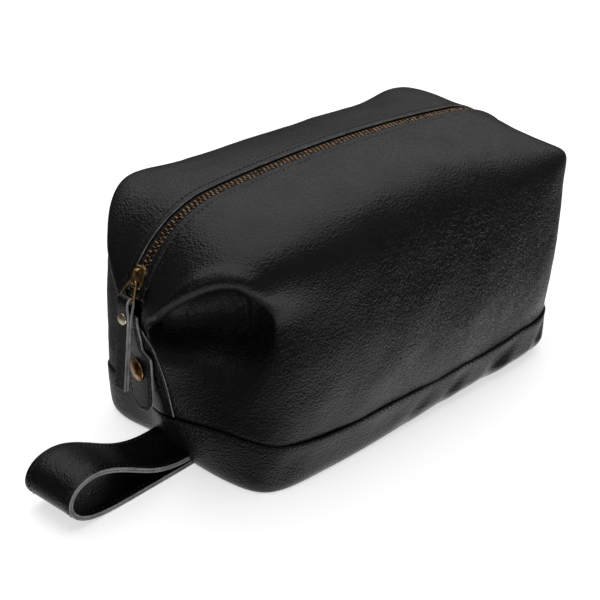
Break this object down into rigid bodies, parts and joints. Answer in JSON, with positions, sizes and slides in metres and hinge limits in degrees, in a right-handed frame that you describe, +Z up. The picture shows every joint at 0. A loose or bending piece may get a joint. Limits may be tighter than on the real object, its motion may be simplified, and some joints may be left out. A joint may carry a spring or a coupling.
{
  "type": "makeup bag",
  "caption": "Soft leather wash bag with a long zip over its crown, end tabs, a leather zip pull and a wrist strap loop at one end.",
  "frame": {"origin": "middle of the base, on the surface the bag stands on", "axes": "+Z up; X along the zip, with the closed slider and the wrist strap at the -X end; the near long side faces -Y"},
  "size_m": [0.3889, 0.1646, 0.162],
  "materials": {
    "panel_leather": "semi-gloss, fine pebble grain",
    "base_leather": "semi-gloss, smoother grain",
    "strap_leather": "smooth semi-gloss with raw grey edges",
    "lining": "plain woven",
    "board": "matt stiffener sheet",
    "zip_tape": "twill tape",
    "antique_brass": "antiqued, rubbed bright on edges",
    "pale_brass": "polished, lightly worn",
    "rivet_brass": "antiqued with a worn rim"
  },
  "bodies": {
    "root": {"front_panel": "panel_leather", "rear_panel": "panel_leather", "base_panel": "base_leather", "front_lining": "lining", "rear_lining": "lining", "base_board": "board", "base_lining": "lining", "zip_tape_front": "zip_tape", "zip_tape_rear": "zip_tape", "zip_teeth_front": "antique_brass", "zip_teeth_rear": "antique_brass", "zip_top_stops": "antique_brass", "zip_bottom_stop": "antique_brass", "left_end_tab": "strap_leather", "left_end_underlay": "strap_leather", "left_rivet_cap": "rivet_brass", "left_rivet_back": "rivet_brass", "right_end_tab": "strap_leather", "right_end_underlay": "strap_leather", "right_rivet_cap": "rivet_brass", "right_rivet_back": "rivet_brass"},
    "slider": {"slider_body": "antique_brass", "slider_bridge": "antique_brass"},
    "ring": {"pull_ring": "antique_brass"},
    "pull": {"pull_strap": "strap_leather", "pull_rivet": "pale_brass"},
    "wrist_strap": {"wrist_strap_outer": "strap_leather", "wrist_strap_inner": "strap_leather"}
  },
  "joints": [
    {"name": "slider_travel", "type": "hinge", "parent": "root", "child": "slider", "pos_m": [-0.09307, 0, 0.08803], "axis": [0, 1, 0], "range_deg": [0, 54]},
    {"name": "ring_swing", "type": "hinge", "parent": "slider", "child": "ring", "pos_m": [-0.15694, 0, 0.1207], "axis": [0, 1, 0], "range_deg": [0, 110]},
    {"name": "pull_swing", "type": "hinge", "parent": "ring", "child": "pull", "pos_m": [-0.16294, 0, 0.1103], "axis": [0, 1, 0], "range_deg": [0, 40]},
    {"name": "wrist_strap_lift", "type": "hinge", "parent": "root", "child": "wrist_strap", "pos_m": [-0.1412, 0.002, 0.0063], "axis": [0, 1, 0], "range_deg": [0, 30]}
  ]
}
